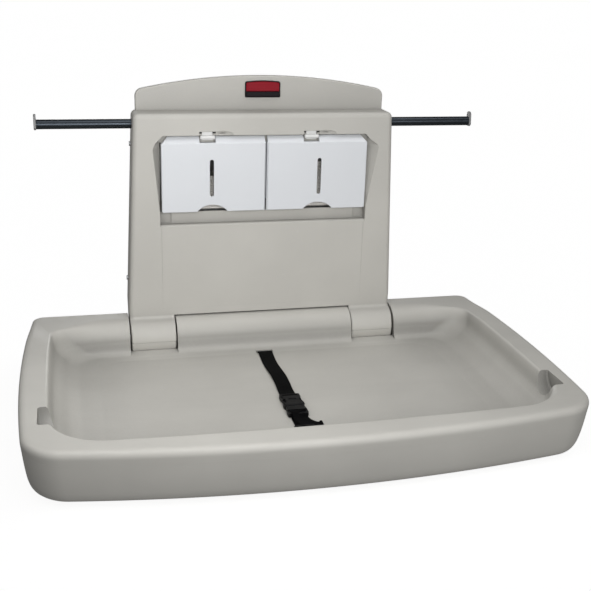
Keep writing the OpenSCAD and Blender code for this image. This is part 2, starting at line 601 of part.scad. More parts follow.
place() wall_housing();
place() back_plate();
place() badge_bezel();
place() badge_upper();
place() badge_lower();
place() hook_rail();
place() rail_cap_left();
place() rail_cap_right();
place() rail_clamps();
place() liner_bin_left();
place() liner_bin_right();
place() liner_stack_left();
place() liner_stack_right();
place() hinge_bracket_left();
place() hinge_bracket_right();
place() hinge_pin_left();
place() hinge_pin_right();
place() hinge_cap_left();
place() hinge_cap_right();
place() housing_screws();
place() stop_bumpers();
place() door_left();
place() door_right();
place() door_pins();
place() latch_left();
place() latch_right();
place() bed_tray();
place() bed_underpan();
place() bed_rear_cover();
place() hinge_cheek_left();
place() hinge_cheek_right();
place() hinge_bushes();
place() tray_screws();
place() strap_back();
place() strap_front();
place() strap_anchor_back();
place() strap_anchor_front();
place() buckle_socket();
place() buckle_plug();
place() strap_slider();
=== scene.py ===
from math import acos, atan2, ceil, cos, degrees, hypot, pi, radians, sin, sqrt

import bmesh
import bpy
from mathutils import Matrix, Vector


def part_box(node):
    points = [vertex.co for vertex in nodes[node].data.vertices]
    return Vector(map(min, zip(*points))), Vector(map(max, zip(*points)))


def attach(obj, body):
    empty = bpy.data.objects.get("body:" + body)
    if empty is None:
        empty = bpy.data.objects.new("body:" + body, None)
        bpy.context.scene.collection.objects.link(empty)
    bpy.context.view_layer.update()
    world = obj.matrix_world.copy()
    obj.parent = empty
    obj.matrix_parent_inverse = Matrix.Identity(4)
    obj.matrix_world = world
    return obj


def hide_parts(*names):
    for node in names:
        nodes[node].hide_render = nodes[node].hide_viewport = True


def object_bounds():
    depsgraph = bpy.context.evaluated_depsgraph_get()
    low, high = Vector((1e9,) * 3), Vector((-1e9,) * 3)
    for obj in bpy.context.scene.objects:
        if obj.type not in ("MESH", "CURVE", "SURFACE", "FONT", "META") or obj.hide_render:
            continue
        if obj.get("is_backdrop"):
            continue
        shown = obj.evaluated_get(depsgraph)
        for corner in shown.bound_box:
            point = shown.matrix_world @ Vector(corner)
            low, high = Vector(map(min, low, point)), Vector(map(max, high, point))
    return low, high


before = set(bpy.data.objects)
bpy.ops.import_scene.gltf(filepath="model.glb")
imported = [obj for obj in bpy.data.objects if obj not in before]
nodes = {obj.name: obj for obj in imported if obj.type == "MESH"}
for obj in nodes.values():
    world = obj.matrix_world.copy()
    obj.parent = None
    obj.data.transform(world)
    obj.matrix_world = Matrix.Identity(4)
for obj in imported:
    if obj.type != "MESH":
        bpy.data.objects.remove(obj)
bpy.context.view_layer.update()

# A fold-down changing table: a wall unit with liner doors and a bag rail, and a bed that folds up.
scene = bpy.context.scene
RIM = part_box("bed_tray")[1].z  # rim plane of the opened bed


def V(x, y, z):
    """Part millimetres, with z above the rim plane, as metres in the row frame."""
    return Vector((x * 0.001, y * 0.001, RIM + z * 0.001))


def mm(node):
    """Box of a CAD node in the same millimetres."""
    lo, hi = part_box(node)
    return [(p.x * 1000, p.y * 1000, (p.z - RIM) * 1000) for p in (lo, hi)]


# ---------------------------------------------------------------- camera
YAW, PITCH, ROLL = radians(13.94), radians(19.47), radians(1.80)
EYE = (-335, -1643, 603)  # millimetres


def camera():
    data = bpy.data.cameras.new("camera")
    data.lens = 57.75
    data.sensor_width = 36
    data.clip_end = 200
    cam = bpy.data.objects.new("camera", data)
    scene.collection.objects.link(cam)
    f = Vector((sin(YAW) * cos(PITCH), cos(YAW) * cos(PITCH), -sin(PITCH)))
    r = Vector((cos(YAW), -sin(YAW), 0))
    u = r.cross(f)
    right = r * cos(ROLL) + u * sin(ROLL)
    up = u * cos(ROLL) - r * sin(ROLL)
    m = Matrix((right, up, -f)).transposed().to_4x4()
    m.translation = V(*EYE)
    cam.matrix_world = m
    scene.camera = cam


camera()


# ---------------------------------------------------------------- materials
class Nodes:
    """Short-hand for building one material's node tree."""

    def __init__(self, name):
        self.mat = bpy.data.materials.new(name)
        self.mat.use_nodes = True
        self.tree = self.mat.node_tree
        self.shader = self.tree.nodes["Principled BSDF"]
        coord = self.tree.nodes.new("ShaderNodeTexCoord")
        self.place = coord.outputs["Object"]

    def add(self, kind, **inputs):
        node = self.tree.nodes.new(kind)
        for key, value in inputs.items():
            self.put(node, key.replace("_", " "), value)
        return node

    def put(self, node, key, value):
        if isinstance(value, bpy.types.NodeSocket):
            self.tree.links.new(value, node.inputs[key])
        else:
            node.inputs[key].default_value = value

    def noise(self, scale, detail=3.0, rough=0.5, stretch=None):
        place = self.place
        if stretch:
            place = self.add("ShaderNodeMapping", Vector=place, Scale=stretch).outputs[0]
        node = self.add("ShaderNodeTexNoise", Vector=place, Scale=scale, Detail=detail, Roughness=rough)
        return node.outputs["Fac"]

    def remap(self, value, lo, hi, to_lo, to_hi):
        node = self.add("ShaderNodeMapRange", Value=value)
        for key, v in (("From Min", lo), ("From Max", hi), ("To Min", to_lo), ("To Max", to_hi)):
            node.inputs[key].default_value = v
        return node.outputs["Result"]

    def mix(self, fac, a, b, how="MIX"):
        node = self.tree.nodes.new("ShaderNodeMix")
        node.data_type = "RGBA"
        node.blend_type = how
        self.put(node, 0, fac)
        for i, v in ((6, a), (7, b)):
            if isinstance(v, bpy.types.NodeSocket):
                self.tree.links.new(v, node.inputs[i])
            else:
                node.inputs[i].default_value = (*v, 1)
        return node.outputs[2]

    def maths(self, how, a, b):
        node = self.tree.nodes.new("ShaderNodeMath")
        node.operation = how
        self.put(node, 0, a)
        self.put(node, 1, b)
        return node.outputs[0]

    def bumps(self, layers, edge=0.0):
        """layers of (height, strength, distance in metres), over edges rounded by edge metres."""
        normal = None
        if edge:
            node = self.tree.nodes.new("ShaderNodeBevel")
            node.samples = 4
            node.inputs["Radius"].default_value = edge
            normal = node.outputs[0]
        for height, strength, distance in layers:
            node = self.add("ShaderNodeBump", Height=height, Strength=strength, Distance=distance)
            if normal:
                self.tree.links.new(normal, node.inputs["Normal"])
            normal = node.outputs[0]
        self.tree.links.new(normal, self.shader.inputs["Normal"])


def tone(c, k):
    return tuple(min(1.0, v * k) for v in c)


def moulded(
    name, color, rough, vary=0.04, pebble=0.25, scuff=0.25, edge=0.001, coat=0.0, painted_shade=0.0, gloss=0.5
):
    """Injection or blow moulded plastic: fine texture, slow tone shifts, faint scuffs and flow marks.
    A nonzero shade amount paints shade into the recesses: their colour is darkened where ambient
    occlusion finds them. edge is the radius of the softened edges in metres."""
    n = Nodes(name)
    slow = n.noise(7, 4, 0.55)
    base = n.mix(n.remap(slow, 0.3, 0.7, 0, 1), tone(color, 1 - vary), tone(color, 1 + vary))
    flow = n.noise(3.5, 2, 0.5, (1, 5, 1))
    base = n.mix(n.remap(flow, 0.45, 0.62, 0, 0.35), base, tone(color, 1 - 2 * vary))
    marks = n.noise(26, 5, 0.7, (1, 9, 3))
    worn = n.remap(marks, 0.62, 0.74, 0, scuff)
    base = n.mix(worn, base, tone(color, 1.13))
    # painted shade: the base colour is darkened towards a dark copy where ambient occlusion finds a
    # recess
    if painted_shade:
        shade_ao = n.add("ShaderNodeAmbientOcclusion", Distance=0.13)
        shade_ao.samples = 6
        shade_ao.only_local = True
        base = n.mix(n.remap(shade_ao.outputs["AO"], 0.45, 0.97, painted_shade, 0), base, tone(color, 0.25))
    n.put(n.shader, "Base Color", base)
    n.put(n.shader, "Specular IOR Level", gloss)
    grain = n.noise(900, 2, 0.5)
    uneven = n.noise(55, 3, 0.5)
    soft = n.remap(uneven, 0.3, 0.7, rough - 0.05, rough + 0.05)
    n.put(n.shader, "Roughness", n.maths("SUBTRACT", soft, n.maths("MULTIPLY", worn, 0.18)))
    n.put(n.shader, "IOR", 1.49)
    if coat:
        n.put(n.shader, "Coat Weight", coat)
        n.put(n.shader, "Coat Roughness", 0.12)
    n.bumps([(uneven, 0.06, 0.0006), (grain, pebble, 0.00012)], edge)
    return n.mat


def metal(name, color, rough, stretch, brush=0.3, edge=0.0004):
    """Drawn, plated or painted metal, with its brushing along stretch's smallest number."""
    n = Nodes(name)
    lines = n.noise(70, 4, 0.6, stretch)
    stain = n.noise(24, 4, 0.6)
    base = n.mix(n.remap(lines, 0.3, 0.7, 0, 1), tone(color, 0.86), tone(color, 1.12))
    base = n.mix(n.remap(stain, 0.5, 0.75, 0, 0.4), base, tone(color, 0.78))
    n.put(n.shader, "Base Color", base)
    n.put(n.shader, "Metallic", 1.0)
    n.put(n.shader, "Roughness", n.remap(stain, 0.3, 0.7, rough - 0.06, rough + 0.08))
    n.bumps([(lines, brush, 0.00008)], edge)
    return n.mat


def webbing(name):
    """Black nylon webbing: ribs along it, a cross weave, and firmer selvages."""
    n = Nodes(name)
    waves = []
    for way, scale, twist in (("X", 215, 0.3), ("Y", 330, 0.6)):
        w = n.add("ShaderNodeTexWave", Vector=n.place, Scale=scale, Distortion=twist)
        w.bands_direction = way
        w.inputs["Detail Scale"].default_value = 3
        waves.append(w.outputs["Fac"])
    weave = n.maths("MULTIPLY", waves[0], waves[1])
    fuzz = n.noise(2600, 2, 0.6)
    fade = n.noise(30, 3, 0.5)
    base = n.mix(weave, (0.0012, 0.0012, 0.0014), (0.004, 0.0038, 0.0042))
    base = n.mix(n.remap(fade, 0.4, 0.7, 0, 0.5), base, (0.003, 0.0028, 0.0032))
    n.put(n.shader, "Base Color", base)
    n.put(n.shader, "Roughness", n.remap(fuzz, 0.3, 0.7, 0.62, 0.8))
    n.put(n.shader, "Specular IOR Level", 0.06)
    n.bumps([(weave, 0.7, 0.0004), (fuzz, 0.2, 0.0001)])
    return n.mat


def sheets(name, color):
    """Folded tissue seen on the cut edges of its layers, with painted shade darkening the gaps between
    plies.
    """
    n = Nodes(name)
    ply = n.add("ShaderNodeTexWave", Vector=n.place, Scale=150, Distortion=2.2, Detail=2)
    ply.bands_direction = "Z"
    fibre = n.noise(500, 4, 0.7, (1, 1, 5))
    # painted shade: the colour darkens towards a dark copy in the gaps between plies
    gap = n.remap(ply.outputs["Fac"], 0.0, 0.35, 1, 0)
    base = n.mix(n.maths("MULTIPLY", gap, 0.6), color, tone(color, 0.35))
    base = n.mix(n.remap(fibre, 0.3, 0.7, 0, 0.25), base, tone(color, 0.8))
    n.put(n.shader, "Base Color", base)
    n.put(n.shader, "Roughness", n.remap(fibre, 0.3, 0.7, 0.85, 0.97))
    n.bumps([(ply.outputs["Fac"], 0.6, 0.0006), (fibre, 0.25, 0.0002)])
    return n.mat


WARM = (0.545, 0.532, 0.494)
# the shell and the bed have painted shade darkening their recesses
shell = moulded("warm_grey_shell", WARM, 0.50, painted_shade=0.5)
skin = moulded("warm_grey_bed", WARM, 0.50, edge=0.0003, painted_shade=0.85)
# painted shade: a dark copy of the shell grey for the bins and hinge cheeks set inside the unit
inner = moulded("warm_grey_painted_shade", tone(WARM, 0.45), 0.55, pebble=0.2)
white = moulded(
    "white_door", (0.74, 0.76, 0.79), 0.34, vary=0.012, pebble=0.05, scuff=0.12, edge=0.0006, coat=0.15
)
tab = moulded("white_tab", (0.80, 0.80, 0.79), 0.4, vary=0.015, pebble=0.06, edge=0.0004)
cap_grey = moulded("cap_grey", (0.24, 0.24, 0.24), 0.42, pebble=0.1, edge=0.0003)
black = moulded(
    "black_acetal", (0.0035, 0.0035, 0.004), 0.46,
    vary=0.2, pebble=0.2, scuff=0.08, edge=0.0003, gloss=0.16,
)
bush = moulded("dark_nylon", (0.035, 0.035, 0.038), 0.5, vary=0.15, edge=0.0005)
red = moulded(
    "badge_red", (0.26, 0.004, 0.014), 0.4, vary=0.08, pebble=0.03, scuff=0.04, edge=0.0, gloss=0.12
)
dark = moulded(
    "badge_dark", (0.010, 0.007, 0.009), 0.4, vary=0.12, pebble=0.03, scuff=0.04, edge=0.0, gloss=0.1
)
rubber = moulded(
    "bumper_rubber", (0.022, 0.022, 0.022), 0.75, vary=0.2, pebble=0.4, scuff=0.1, edge=0.0006
)
tube = metal("rail_steel", (0.050, 0.058, 0.068), 0.30, (0.04, 1, 1), 0.35)
zinc = metal("zinc_plate", (0.55, 0.56, 0.58), 0.36, (1, 1, 1), 0.15)
paint = metal("galvanised_plate", (0.42, 0.43, 0.44), 0.5, (1, 3, 1), 0.2)
strap_cloth = webbing("nylon_webbing")
tissue = sheets("folded_tissue", (0.78, 0.76, 0.72))


# ---------------------------------------------------------------- mesh helpers
def new_object(name, verts, faces):
    mesh = bpy.data.meshes.new(name)
    mesh.from_pydata([V(*v) for v in verts], [], faces)
    bm = bmesh.new()
    bm.from_mesh(mesh)
    bmesh.ops.recalc_face_normals(bm, faces=bm.faces)
    bm.to_mesh(mesh)
    bm.free()
    obj = bpy.data.objects.new(name, mesh)
    scene.collection.objects.link(obj)
    return obj


def skin_rings(rings, closed=False):
    """Vertices and faces of a closed loft through rings of equal length."""
    n, m = len(rings[0]), len(rings)
    verts = [p for ring in rings for p in ring]
    faces = []
    for k in range(m if closed else m - 1):
        a, b = k * n, ((k + 1) % m) * n
        faces += [(a + i, b + i, b + (i + 1) % n, a + (i + 1) % n) for i in range(n)]
    if not closed:
        faces += [tuple(range(n)), tuple(reversed(range((m - 1) * n, m * n)))]
    return verts, faces


def loft(name, rings, closed=False):
    return new_object(name, *skin_rings(rings, closed))


def bake(obj):
    obj.data.update()
    graph = bpy.context.evaluated_depsgraph_get()
    mesh = bpy.data.meshes.new_from_object(obj.evaluated_get(graph))
    old = obj.data
    obj.modifiers.clear()
    obj.data = mesh
    bpy.data.meshes.remove(old)


def combine(obj, others, how):
    for other in others:
        m = obj.modifiers.new("cut", "BOOLEAN")
        m.operation = how
        m.solver = "EXACT"
        m.object = other
        bake(obj)
        bpy.data.objects.remove(other)
    return obj


def cut(obj, *others):
    return combine(obj, others, "DIFFERENCE")


def unite(obj, *others):
    return combine(obj, others, "UNION")


def join(obj, *others):
    """Separate closed shells kept as they are in one piece."""
    bm = bmesh.new()
    bm.from_mesh(obj.data)
    for other in others:
        bm.from_mesh(other.data)
        bpy.data.objects.remove(other)
    bm.to_mesh(obj.data)
    bm.free()
    return obj


def settle(obj, body, mat, replaced=(), angle=32):
    """Shading, material and place in the model of a finished piece."""
    bm = bmesh.new()
    bm.from_mesh(obj.data)
    bmesh.ops.remove_doubles(bm, verts=bm.verts, dist=2e-6)
    bmesh.ops.dissolve_degenerate(bm, edges=bm.edges, dist=2e-6)
    bm.to_mesh(obj.data)
    bm.free()
    obj.data.shade_smooth()
    obj.data.set_sharp_from_angle(angle=radians(angle))
    w = obj.modifiers.new("normals", "WEIGHTED_NORMAL")
    w.keep_sharp = True
    bake(obj)
    obj.data.materials.clear()
    obj.data.materials.append(mat)
    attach(obj, body)
    if replaced:
        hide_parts(*replaced)
    return obj


def ease(t):
    """0 to 1 with a soft start and end."""
    t = min(1.0, max(0.0, t))
    return t * t * (3 - 2 * t)


def curve_at(x, xs, ys):
    """Monotone cubic through (xs, ys), xs rising."""
    if x <= xs[0]:
        return ys[0]
    if x >= xs[-1]:
        return ys[-1]
    k = max(i for i in range(len(xs) - 1) if xs[i] <= x)
    d = [(ys[i + 1] - ys[i]) / (xs[i + 1] - xs[i]) for i in range(len(xs) - 1)]

    def slope(i):
        if i == 0 or i == len(xs) - 1:
            return d[min(i, len(d) - 1)]
        a, b = d[i - 1], d[i]
        return 0.0 if a * b <= 0 else 2 * a * b / (a + b)

    w = xs[k + 1] - xs[k]
    t = (x - xs[k]) / w
    return (
        ys[k] * (2 * t**3 - 3 * t**2 + 1)
        + w * slope(k) * (t**3 - 2 * t**2 + t)
        + ys[k + 1] * (3 * t**2 - 2 * t**3)
        + w * slope(k + 1) * (t**3 - t**2)
    )


def arc(u, v, r, start, end, n):
    """n + 1 points on a circle about (u, v), from start to end degrees."""
    turns = [radians(start + (end - start) * i / n) for i in range(n + 1)]
    return [(u + r * cos(t), v + r * sin(t)) for t in turns]


def circle(u, v, r, n):
    return arc(u, v, r, 0, 360, n)[:-1]


def span(side, a, b):
    """a and b on one side of the middle, 1 for right and -1 for left, the lower first."""
    return sorted((side * a, side * b))


def filleted(corners, n=6):
    """Outline from (u, v, radius) corners, each rounded with an arc of n steps."""
    out = []
    m = len(corners)
    for i, (u, v, r) in enumerate(corners):
        p = Vector((u, v))
        a = (Vector(corners[i - 1][:2]) - p).normalized()
        b = (Vector(corners[(i + 1) % m][:2]) - p).normalized()
        if r <= 0:
            out.append((u, v))
            continue
        half = acos(max(-1, min(1, a.dot(b)))) / 2
        c = p + (a + b).normalized() * (r / sin(half))
        reach = r * cos(half) / sin(half)
        s, e = p + a * reach - c, p + b * reach - c
        t0 = atan2(s.y, s.x)
        turn = (atan2(e.y, e.x) - t0 + pi) % (2 * pi) - pi
        turns = [t0 + turn * k / n for k in range(n + 1)]
        out += [(c.x + r * cos(t), c.y + r * sin(t)) for t in turns]
    return out


def inset(outline, amounts):
    """Outline moved inward, by its own amount at each point."""
    m = len(outline)
    area = sum(outline[i - 1][0] * outline[i][1] - outline[i][0] * outline[i - 1][1] for i in range(m))
    side = 1 if area > 0 else -1
    out = []
    for i, p in enumerate(outline):
        a = Vector((p[0] - outline[i - 1][0], p[1] - outline[i - 1][1])).normalized()
        q = outline[(i + 1) % m]
        b = Vector((q[0] - p[0], q[1] - p[1])).normalized()
        t = (a + b).normalized()
        k = amounts[i] / max(0.5, t.dot(a))
        out.append((p[0] - side * t.y * k, p[1] + side * t.x * k))
    return out


PLACES = {
    "x": lambda u, v, w: (w, u, v),
    "y": lambda u, v, w: (u, w, v),
    "z": lambda u, v, w: (u, v, w),
}


def prism(name, outline, lo, hi, r_lo, r_hi, axis, n=5):
    """Outline drawn along an axis from lo to hi, with its two rims rounded in n steps."""
    levels = []
    for r, end, way in ((r_lo, lo, 1), (r_hi, hi, -1)):
        part = [(end, 0)]
        if r > 0:
            turns = [pi / 2 * k / n for k in range(n + 1)]
            part = [(end + way * r * (1 - sin(t)), r * (1 - cos(t))) for t in turns]
        levels += part if way < 0 else part[::-1]
    rings = []
    for w, amount in levels:
        flat = inset(outline, [amount] * len(outline))
        rings.append([PLACES[axis](u, v, w) for u, v in flat])
    return loft(name, rings)


def box(name, a, b):
    corners = [(a[0], a[1]), (b[0], a[1]), (b[0], b[1]), (a[0], b[1])]
    return prism(name, corners, a[2], b[2], 0, 0, "z")


def rod(name, r, x1, x2, y, z, n=64, rim=0.0):
    return prism(name, circle(y, z, r, n), x1, x2, rim, rim, "x", 3)


# ---------------------------------------------------------------- bed
# half width at the corners, gap behind, length, basin depth, wall thickness, and height of the seam
H, BACK, LENGTH, DEPTH, SKIN, SEAM = 407.0, 15.0, 545.0, 60.0, 3.4, -20.0
FRONT = -(BACK + LENGTH)
MID = -(BACK + LENGTH / 2)
BOW, FBOW, DROP = 15.0, 37.7, 4.0  # bow of the sides, bow of the front, dip of the rim's back edge
PAN_Z = -86.0  # underside of the bed
AXIS_Y, AXIS_Z, ROLL_R, KNUCKLE = -48.0, -40.0, 36.0, 34.5
LEG_IN, LEG_OUT = 162.0, 240.0
NOTCH_IN, NOTCH_OUT = LEG_IN - 2, LEG_OUT + 3
CORNER_FROM, CORNER_RUN, CORNER_FLAT = 285.0, 88.0, 38.0  # the flats at the basin's two back corners
POCKET_X, POCKET_Y, POCKET_R = 393.0, -419.5, 27.5
STRAP_X, STRAP_W = -8.0, 25.0
STRAP_SLOTS = (-108, -462)
PAN_SCREWS = ((-300, -130), (300, -130), (-300, -420), (300, -420), (-140, -440), (140, -440))


def bed_ring(q, nc=16, edges=(44, 26, 44, 26)):
    """Rounded rectangle with bowed sides and front: half width, front y, back y, front radius,
    back radius, z, side bow, front bow."""
    hw, yf, yb, rf, rb, z, sb, fb = q
    corners = (
        (hw - rb, yb - rb, rb, 0),
        (rb - hw, yb - rb, rb, 90),
        (rf - hw, yf + rf, rf, 180),
        (hw - rf, yf + rf, rf, 270),
    )
    arcs = [arc(cx, cy, r, a, a + 90, nc) for cx, cy, r, a in corners]
    pts = []
    for k in range(4):
        pts += arcs[k]
        a, b, n = arcs[k][-1], arcs[(k + 1) % 4][0], edges[k]
        pts += [(a[0] + (b[0] - a[0]) * i / n, a[1] + (b[1] - a[1]) * i / n) for i in range(1, n)]
    out = []
    inside = min(1.0, max(0.0, (BOW - 1 - sb) / (BOW - 7)))
    fill = inside * max(0.0, CORNER_FLAT + 0.72 * (yb - AXIS_Y))
    for x, y in pts:
        t, s = (y - MID) / (LENGTH / 2), x / hw
        forward = fill * ease((abs(x) - CORNER_FROM) / CORNER_RUN) * ease((y + 230) / 130)
        drop = DROP * ease((y + 130) / 80) * max(0.0, z + DEPTH) / DEPTH
        front = fb * (1 - s * s) * ease(-t * 1.25)
        out.append((x + s * sb * (1 - t * t), y - front - forward, z - drop))
    return out


def through(knots, step=4.0):
    """Denser ring settings on monotone curves through the given ones."""
    at = [0.0]
    for a, b in zip(knots, knots[1:]):
        at.append(at[-1] + max(0.5, hypot(a[0] - b[0], a[5] - b[5]), abs(a[2] - b[2]) * 0.7))
    out = []
    for k in range(len(knots) - 1):
        n = max(1, ceil((at[k + 1] - at[k]) / step))
        for i in range(n):
            s = at[k] + (at[k + 1] - at[k]) * i / n
            out.append([curve_at(s, at, [q[j] for q in knots]) for j in range(8)])
    return out + [knots[-1]]


def shifted(q, out, up):
    """Ring settings moved outward and up."""
    front_r, back_r = max(6, q[3] + out), max(6, q[4] + out)
    return [q[0] + out, q[1] - out, q[2] + out, front_r, back_r, q[5] + up, q[6], q[7]]


def closing(last, steps, front_fall, back_fall, bow, bow_fall):
    """Ever smaller rings that close a flat floor without long thin faces."""
    out = []
    for d in steps:
        front_r, back_r = max(3, last[3] - d * front_fall), max(3, last[4] - d * back_fall)
        edges = [last[0] - d, last[1] + d, last[2] - d]
        out.append([*edges, front_r, back_r, last[5], last[6], bow - d * bow_fall])
    return out


# how far the basin's side and front walls stand in from the bed's edge at each height
SIDE_Z, SIDE_IN = [-44, -25, -8, -2, 0], [54, 40, 35, 32.5, 30]
FRONT_Z, FRONT_IN = [-44, -25, -8, -2, 0], [74, 67, 64, 60, 55]


def roll_ring(a):
    """Ring whose back edge follows the rolled back: 0 is its crest and 90 its front."""
    t = radians(a)
    z = min(0.0, (ROLL_R * cos(t) + AXIS_Z + DROP) * DEPTH / (DEPTH - DROP))
    return [
        H - curve_at(z, SIDE_Z, SIDE_IN),
        FRONT + curve_at(z, FRONT_Z, FRONT_IN),
        AXIS_Y - ROLL_R * sin(t),
        78 - a / 10,
        18 + a / 5,
        z,
        6,
        10.5,
    ]


def bed_tray():
    rim = [
        [H - 0.9, FRONT + FBOW + 0.9, -BACK, 48, 16, SEAM, BOW, FBOW],
        [H, FRONT + FBOW, -BACK, 48, 16, -9, BOW, FBOW],
        [H - 1.3, FRONT + FBOW + 1.3, -16.3, 47, 15.5, -4.4, BOW, FBOW],
        [H - 4.4, FRONT + FBOW + 4.4, -19.4, 45, 15, -1.3, BOW, FBOW],
        [H - 9, FRONT + FBOW + 9, -24, 43, 14, 0, BOW - 1, FBOW - 1],
    ]
    turns = range(0, 85, 4)
    roll = [roll_ring(a) for a in turns]
    low = [
        roll[-1],
        [H - 64, FRONT + 80, -88, 66, 37, -51, 6, 9],
        [H - 81, FRONT + 92, -97, 62, 39, -57.5, 6, 9],
        [H - 112, FRONT + 110, -112, 58, 40, -DEPTH, 6, 8],
    ]
    top = through(rim + [roll[0]], 2.5)[:-1] + roll[:-1] + through(low, 2.5)
    top += closing(low[-1], (3, 9, 20, 40, 70, 105, 140, 160), 0.45, 0.35, 8, 0.04)
    rim_in = ((-SKIN, 0), (-SKIN, 0), (-2.9, -1.6), (-1.5, -3), (0, -SKIN))
    under = [shifted(q, *d) for q, d in zip(rim, rim_in)]
    under += [shifted(q, SKIN * sin(radians(a)), -SKIN * cos(radians(a))) for a, q in zip(turns, roll)]
    under += [shifted(q, *d) for q, d in zip(low[1:], ((2.6, -2.3), (1.2, -3.2), (0, -SKIN)))]
    tray = loft("bed_tray_skin", [bed_ring(q) for q in under[::-1] + top])
    added, taken = [], []
    for s in (1, -1):
        knuckle_foot = [(-80.4, -55), (-96.5, -57.2)]
        shelf = [*knuckle_foot, (-108, -60.5), (-108, -61.5), (-96, -61.2), (-80.4, -58.2)]
        added.append(prism("shelf", shelf, *span(s, NOTCH_IN - 3, NOTCH_OUT + 3), 0, 0, "x"))
        added.append(pocket_tub(s))
        a, b = span(s, NOTCH_IN, NOTCH_OUT)
        hole = [(-115, -40), (-115, 5), (AXIS_Y + 5, 5), (AXIS_Y + 5, AXIS_Z - 6)]
        hole = [knuckle_foot[1], *hole, knuckle_foot[0]]
        taken.append(prism("notch", hole, a, b, 0, 0, "x"))
        taken.append(rod("knuckle_gap", ROLL_R - 0.4, a, b, AXIS_Y, AXIS_Z))
        taken.append(pocket_cutter(s))
    taken.append(box("rear", (-NOTCH_OUT, AXIS_Y, -55), (NOTCH_OUT, 5, 5)))
    for y in STRAP_SLOTS:
        a, b, d = STRAP_X - 15, STRAP_X + 15, 5.0
        slot = filleted([(a, y - d, 2), (b, y - d, 2), (b, y + d, 2), (a, y + d, 2)])
        taken.append(prism("slot", slot, -DEPTH - 8, -DEPTH + 3, 0, 0, "z"))
    unite(tray, *added)
    cut(tray, *taken)
    settle(tray, "bed", skin, ["bed_tray"])


def pocket_tub(s):
    """Wall under a side pocket, trimmed to the slope of the basin's side."""
    tub = rod("tub", POCKET_R + SKIN, *span(s, POCKET_X - 55, POCKET_X + SKIN), POCKET_Y, 0)
    slope = [(330, -50), (360, -42), (372.8, -25), (377.7, -8), (380.2, -2)]
    wall = [(s * x, z) for x, z in slope + [(410, -1.6), (410, 50), (330, 50)]]
    ends = (POCKET_Y - 60, POCKET_Y + 60)
    return cut(tub, prism("inside", wall if s > 0 else wall[::-1], *ends, 0, 0, "y"))


def pocket_cutter(s):
    """Half-round trough across the side rim, flared where it breaks the surface, domed at its end."""
    rings = []
    for x, r in ((-60, POCKET_R), (-4, POCKET_R), (-1.8, POCKET_R - 0.7), (0, POCKET_R - 3)):
        profile = arc(POCKET_Y, 0, r, 180, 360, 40)
        for y, z in ((r + 0.5, 1.0), (r + 2.2, 4.0), (-r - 2.2, 4.0), (-r - 0.5, 1.0)):
            profile.append((POCKET_Y + y, z))
        rings.append([(s * (POCKET_X + x), y, z) for y, z in profile])
    return loft("pocket", rings)


def bed_underpan():
    outer = [
        [H - 0.9, FRONT + FBOW + 0.9, -BACK, 48, 16, SEAM - 0.03, BOW, FBOW],
        [H - 3, FRONT + FBOW + 3, -BACK, 47, 16, -40, BOW, FBOW - 0.5],
        [H - 6, FRONT + FBOW + 6.5, -15.5, 46, 17, -62, BOW, FBOW - 1],
        [H - 9, FRONT + FBOW + 9.5, -19, 45, 18, -74, BOW, FBOW - 1.5],
        [H - 14, FRONT + FBOW + 14.5, -27, 42, 21, -82, BOW, FBOW - 2],
        [H - 23, FRONT + FBOW + 24, -42, 38, 26, PAN_Z, BOW, FBOW - 3],
    ]
    inward = ((-SKIN, 0), (-3.3, 0.5), (-3.2, 1), (-2.6, 2.2), (-1.5, 3), (0, SKIN))
    inner_rings = [shifted(q, *d) for q, d in zip(outer, inward)]
    dense = through(outer, 4) + closing(outer[-1], (4, 14, 40, 80, 130, 160), 0.35, 0.3, 34, 0.15)
    pan = loft("bed_underpan_skin", [bed_ring(q) for q in inner_rings[::-1] + dense])
    taken = []
    for s in (1, -1):
        a, b = span(s, NOTCH_IN, NOTCH_OUT)
        taken.append(box("notch", (a, AXIS_Y, PAN_Z + 3.2), (b, 5, 0)))
    for x, y in PAN_SCREWS:
        taken.append(prism("hole", circle(x, y, 2.2, 24), PAN_Z - 3, PAN_Z + 10, 0, 0, "z"))
    cut(pan, *taken)
    settle(pan, "bed", skin, ["bed_underpan"])


bed_tray()
bed_underpan()


# ---------------------------------------------------------------- wall housing
UNIT_D, UNIT_TOP, WALL, EDGE = 53.0, 356.0, 3.5, 9.0
SHELF_Z, DOOR_Z, OPEN_TOP, OPEN_HALF = 165.0, 187.0, 319.0, 184.0
FLARE, FLARE_LEFT = 19.0, 11.0  # how far the recess's cheeks slope out, on the right and on the left
DOOR_TOP = DOOR_Z + 120
BIN_HALF, BIN_TOP = 182.5, 306.0
RAIL_Y, RAIL_Z, RAIL_HOLE = -20, 335, 8.4
COVE = 7.0  # radius of the hollow between a leg's flat front and its knuckle
COVE_Z = AXIS_Z + sqrt((KNUCKLE + COVE) ** 2 - (UNIT_D + COVE + AXIS_Y) ** 2)
HEAD_HALF, HEAD_TOP, HEAD_DROP, HEAD_D, HEAD_ROUND = 219.0, 414.0, 24.0, 10.0, 14.0


def half_width(z):
    """The unit widens a little downward, and its legs draw in again at their feet."""
    return 226 + (UNIT_TOP - max(z, 20)) * 15 / 332 - max(0.0, 20 - z) * 1.15 / 60


def section(z, x1, x2, yf, r1, r2, n=7):
    """Level slice of a box against the wall with its two front corners rounded."""
    front = arc(x1 + r1, yf + r1, r1, 180, 270, n) + arc(x2 - r2, yf + r2, r2, 270, 360, n)
    return [(x1, 0.0, z)] + [(x, y, z) for x, y in front] + [(x2, 0.0, z)]


